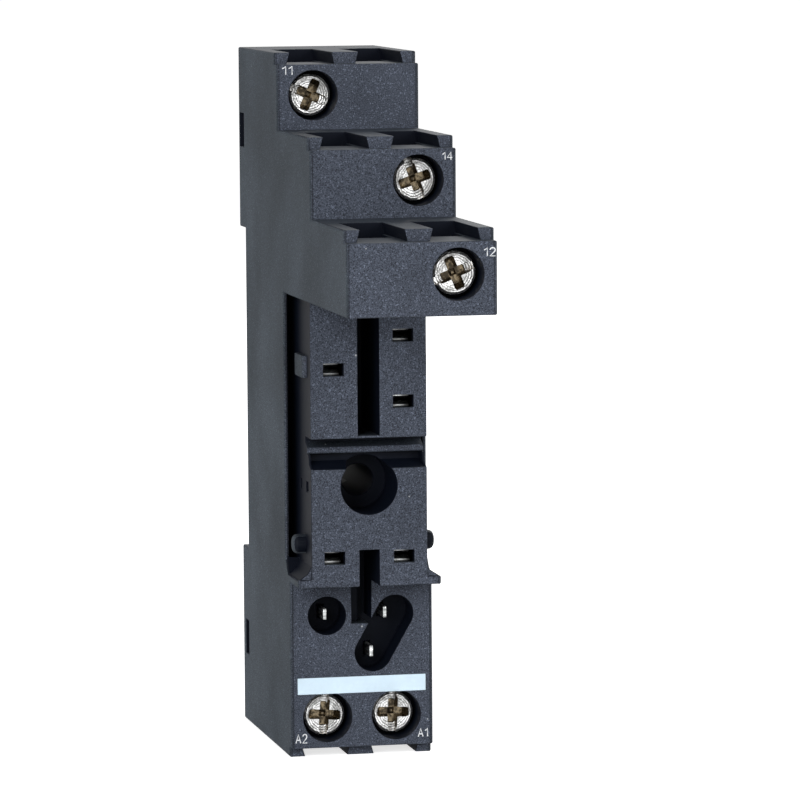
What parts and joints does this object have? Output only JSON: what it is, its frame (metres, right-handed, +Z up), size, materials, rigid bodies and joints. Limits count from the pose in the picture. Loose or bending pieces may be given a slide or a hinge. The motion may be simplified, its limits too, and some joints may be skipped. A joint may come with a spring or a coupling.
{
  "type": "relay socket",
  "caption": "Slim stepped relay socket for a 35 mm rail, with screw terminals with rising clamps, an open relay bay with flat pin slots, and a sprung rail latch.",
  "frame": {"origin": "centre of the seat that lies on the front face of the 35 mm rail", "axes": "+X across the width to the right seen from the front, -Y out of the front, +Z up along the rail's height"},
  "size_m": [0.0154, 0.059, 0.0751],
  "materials": {
    "housing_plastic": "black moulding, spark-eroded fronts and smoother sides",
    "marker_plastic": "pale blue-white moulded strip, semi-gloss",
    "latch_plastic": "black moulding, semi-matte",
    "screw_steel": "bright zinc plating",
    "cage_steel": "zinc plating",
    "tinned_brass": "copper alloy with tin plating, silver grey",
    "spring_steel": "bright spring wire"
  },
  "bodies": {
    "root": {"housing": "housing_plastic", "rear_cover": "housing_plastic", "marker_strip": "marker_plastic", "rail_latch_spring": "spring_steel", "contact_strip_11": "tinned_brass", "contact_strip_14": "tinned_brass", "contact_strip_12": "tinned_brass", "contact_strip_a1": "tinned_brass", "contact_strip_a2": "tinned_brass"},
    "rail_latch": {"rail_latch": "latch_plastic"},
    "screw_11": {"terminal_screw_11": "screw_steel"},
    "cage_11": {"clamp_cage_11": "cage_steel"},
    "screw_14": {"terminal_screw_14": "screw_steel"},
    "cage_14": {"clamp_cage_14": "cage_steel"},
    "screw_12": {"terminal_screw_12": "screw_steel"},
    "cage_12": {"clamp_cage_12": "cage_steel"},
    "screw_a1": {"terminal_screw_a1": "screw_steel"},
    "cage_a1": {"clamp_cage_a1": "cage_steel"},
    "screw_a2": {"terminal_screw_a2": "screw_steel"},
    "cage_a2": {"clamp_cage_a2": "cage_steel"}
  },
  "joints": [
    {"name": "screw_11_turn", "type": "hinge", "parent": "root", "child": "screw_11", "pos_m": [-0.00375, -0.0172, 0.0331], "axis": [0, 1, 0], "range_deg": [0, 1728]},
    {"name": "cage_11_rise", "type": "slide", "parent": "root", "child": "cage_11", "axis": [0, -1, 0], "range_m": [0, 0.0024]},
    {"name": "screw_14_turn", "type": "hinge", "parent": "root", "child": "screw_14", "pos_m": [0.00375, -0.0352, 0.0249], "axis": [0, 1, 0], "range_deg": [0, 1728]},
    {"name": "cage_14_rise", "type": "slide", "parent": "root", "child": "cage_14", "axis": [0, -1, 0], "range_m": [0, 0.0024]},
    {"name": "screw_12_turn", "type": "hinge", "parent": "root", "child": "screw_12", "pos_m": [0.00375, -0.0537, 0.0165], "axis": [0, 1, 0], "range_deg": [0, 1728]},
    {"name": "cage_12_rise", "type": "slide", "parent": "root", "child": "cage_12", "axis": [0, -1, 0], "range_m": [0, 0.0024]},
    {"name": "screw_a1_turn", "type": "hinge", "parent": "root", "child": "screw_a1", "pos_m": [0.00375, -0.0224, -0.0331], "axis": [0, 1, 0], "range_deg": [0, 1728]},
    {"name": "cage_a1_rise", "type": "slide", "parent": "root", "child": "cage_a1", "axis": [0, -1, 0], "range_m": [0, 0.0024]},
    {"name": "screw_a2_turn", "type": "hinge", "parent": "root", "child": "screw_a2", "pos_m": [-0.00375, -0.0224, -0.0331], "axis": [0, 1, 0], "range_deg": [0, 1728]},
    {"name": "cage_a2_rise", "type": "slide", "parent": "root", "child": "cage_a2", "axis": [0, -1, 0], "range_m": [0, 0.0024]},
    {"name": "rail_latch_slide", "type": "slide", "parent": "root", "child": "rail_latch", "axis": [0, 0, -1], "range_m": [0, 0.0022], "stiffness_N_per_m": 1500, "springref_m": -0.001, "deforming": ["rail_latch_spring"]}
  ],
  "couplings": [
    {"joint": "screw_11_turn", "follows": "cage_11_rise", "rad_per_m": 12566},
    {"joint": "screw_14_turn", "follows": "cage_14_rise", "rad_per_m": 12566},
    {"joint": "screw_12_turn", "follows": "cage_12_rise", "rad_per_m": 12566},
    {"joint": "screw_a1_turn", "follows": "cage_a1_rise", "rad_per_m": 12566},
    {"joint": "screw_a2_turn", "follows": "cage_a2_rise", "rad_per_m": 12566}
  ]
}
